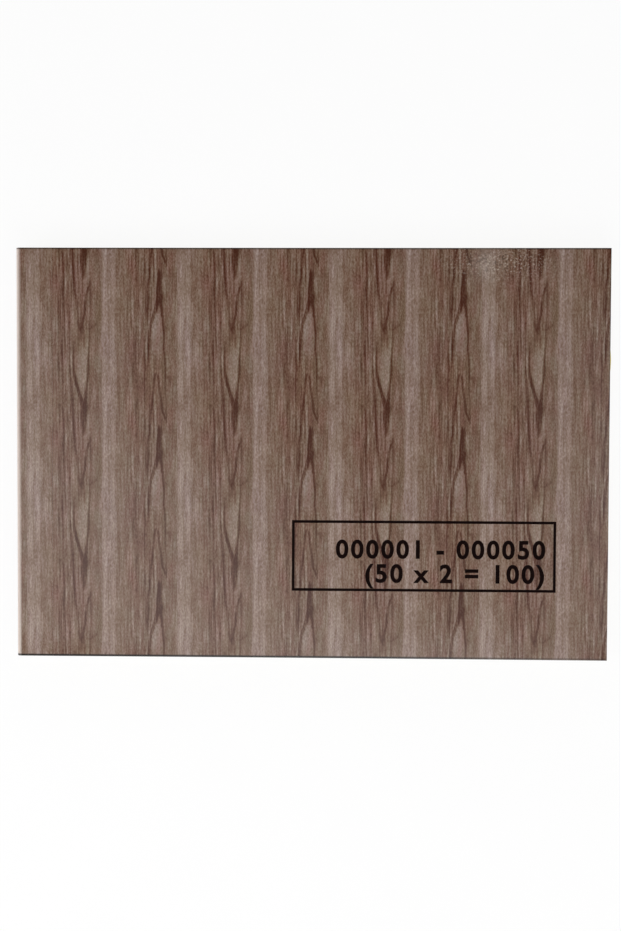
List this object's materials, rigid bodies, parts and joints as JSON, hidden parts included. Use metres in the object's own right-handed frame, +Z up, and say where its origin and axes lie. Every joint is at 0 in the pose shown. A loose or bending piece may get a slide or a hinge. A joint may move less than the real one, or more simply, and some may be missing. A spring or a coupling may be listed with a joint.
{
  "type": "duplicate receipt book",
  "caption": "Landscape side-stitched duplicate receipt book: wrap-round card cover with a wood-grain print, white originals that tear off over yellow copies, and a loose writing shield.",
  "frame": {"origin": "under the middle of the back cover, on the surface that the book lies on", "axes": "+X from the spine to the fore-edge, +Y from the tail to the head, +Z up out of the front cover"},
  "size_m": [0.195, 0.135, 0.0094],
  "materials": {
    "cover_card": "gloss-laminated card, printed with brown wood grain outside and on a pale spine, plain inside",
    "white_paper": "uncoated white carbonless paper",
    "yellow_paper": "uncoated yellow carbonless paper",
    "shield_card": "plain grey board",
    "stitch_wire": "bright drawn stitching wire",
    "glue": "dried white binding glue"
  },
  "bodies": {
    "pad": {"cover_wrap": "cover_card", "binding_glue": "glue", "stitch_head": "stitch_wire", "stitch_tail": "stitch_wire", "original_stub_01": "white_paper", "original_02": "white_paper", "originals_03_to_12": "white_paper", "originals_13_to_22": "white_paper", "originals_23_to_32": "white_paper", "originals_33_to_42": "white_paper", "originals_43_to_50": "white_paper", "copy_stub_01": "yellow_paper", "copy_02": "yellow_paper", "copies_03_to_12": "yellow_paper", "copies_13_to_22": "yellow_paper", "copies_23_to_32": "yellow_paper", "copies_33_to_42": "yellow_paper", "copies_43_to_50": "yellow_paper"},
    "first_copy": {"copy_leaf_01": "yellow_paper"},
    "first_original": {"original_slip_01": "white_paper"},
    "front_cover": {"front_cover": "cover_card"},
    "shield": {"writing_shield": "shield_card"}
  },
  "joints": [
    {"name": "leaf_turn", "type": "hinge", "parent": "pad", "child": "first_copy", "pos_m": [-0.0855, 0, 0.00945], "axis": [0, 1, 0], "range_deg": [-180, 0]},
    {"name": "cover_open", "type": "hinge", "parent": "first_copy", "child": "front_cover", "pos_m": [-0.0855, 0, 0.00945], "axis": [0, -1, 0], "range_deg": [0, 180]},
    {"name": "receipt_tear_off", "type": "slide", "parent": "first_copy", "child": "first_original", "axis": [1, 0, 0], "range_m": [0, 0.195]},
    {"name": "shield_slide", "type": "slide", "parent": "pad", "child": "shield", "axis": [1, 0, 0], "range_m": [0, 0.19]}
  ]
}
